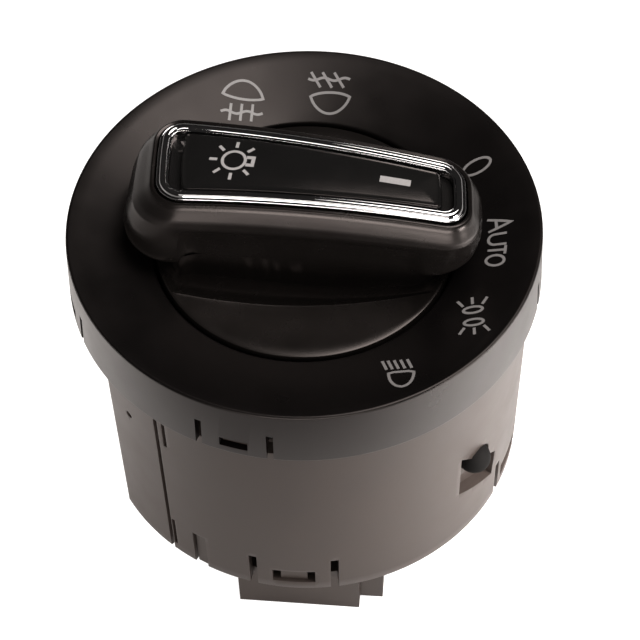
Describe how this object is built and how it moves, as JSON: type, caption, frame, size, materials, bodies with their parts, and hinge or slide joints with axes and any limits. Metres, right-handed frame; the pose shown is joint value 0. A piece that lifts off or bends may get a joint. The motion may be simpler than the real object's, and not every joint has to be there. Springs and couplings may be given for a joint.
{
  "type": "headlight switch",
  "caption": "Round dashboard headlight switch with a dished face, a push-pull rotary knob with a bar grip, and a connector behind.",
  "frame": {"origin": "on the knob's axis, level with the open end of the connector, which is the lowest face", "axes": "+Z along the knob's axis, out of the dashboard towards the driver; +Y up the face, towards the off mark"},
  "size_m": [0.0792, 0.0792, 0.0795],
  "materials": {
    "face_black": "satin fine-grained black",
    "housing_black": "moulded satin black",
    "knob_black": "satin soft black",
    "panel_black": "smooth black with printed marks",
    "latch_black": "polished black",
    "chrome": "bright plated",
    "light_guide": "clear polished plastic",
    "board_green": "solder-masked board",
    "lamp_white": "clear lamp lens",
    "chip_black": "moulded black",
    "terminal_tin": "tin plated",
    "contact_brass": "polished contact strip",
    "spring_steel": "bright spring wire",
    "slide_plastic": "natural slide plastic"
  },
  "bodies": {
    "housing": {"front_bezel": "face_black", "legend_light_guide": "light_guide", "main_housing": "housing_black", "rear_cover": "housing_black", "circuit_board": "board_green", "legend_led_1": "lamp_white", "legend_led_2": "lamp_white", "legend_led_3": "lamp_white", "controller_chip": "chip_black", "knob_led_board": "board_green", "knob_led": "lamp_white", "terminal_01": "terminal_tin", "terminal_02": "terminal_tin", "terminal_03": "terminal_tin", "terminal_04": "terminal_tin", "terminal_05": "terminal_tin", "terminal_06": "terminal_tin", "terminal_07": "terminal_tin", "terminal_08": "terminal_tin", "terminal_09": "terminal_tin", "terminal_10": "terminal_tin", "detent_spring": "spring_steel", "latch_spring_right": "spring_steel", "latch_spring_left": "spring_steel"},
    "rotor": {"rotor_cup": "slide_plastic", "wiper_contact_1": "contact_brass", "wiper_contact_2": "contact_brass", "pull_click_spring": "spring_steel"},
    "knob": {"knob_body": "knob_black", "chrome_trim": "chrome", "insert_panel": "panel_black", "knob_light_guide": "light_guide", "pull_shaft": "light_guide"},
    "carriage": {"pull_carriage": "slide_plastic", "carriage_contact": "contact_brass"},
    "detent": {"detent_plunger": "slide_plastic"},
    "latch_right": {"release_latch_right": "latch_black"},
    "latch_left": {"release_latch_left": "latch_black"}
  },
  "joints": [
    {"name": "knob_turn", "type": "hinge", "parent": "housing", "child": "rotor", "pos_m": [0, 0, 0.046], "axis": [0, 0, 1], "range_deg": [-58, 29]},
    {"name": "knob_pull", "type": "slide", "parent": "rotor", "child": "knob", "axis": [0, 0, 1], "range_m": [-0.0012, 0.007]},
    {"name": "carriage_follow", "type": "slide", "parent": "housing", "child": "carriage", "axis": [0, 0, 1], "range_m": [-0.0012, 0.007]},
    {"name": "detent_press", "type": "slide", "parent": "housing", "child": "detent", "axis": [0, 0, -1], "range_m": [0, 0.0006], "stiffness_N_per_m": 600, "springref_m": -0.002},
    {"name": "latch_right_press", "type": "slide", "parent": "housing", "child": "latch_right", "axis": [-0.8942, -0.4478, 0], "range_m": [0, 0.002], "stiffness_N_per_m": 600, "springref_m": -0.003},
    {"name": "latch_left_press", "type": "slide", "parent": "housing", "child": "latch_left", "axis": [0.8942, 0.4478, 0], "range_m": [0, 0.002], "stiffness_N_per_m": 600, "springref_m": -0.003}
  ],
  "couplings": [
    {"joint": "carriage_follow", "follows": "knob_pull", "ratio": 1}
  ]
}
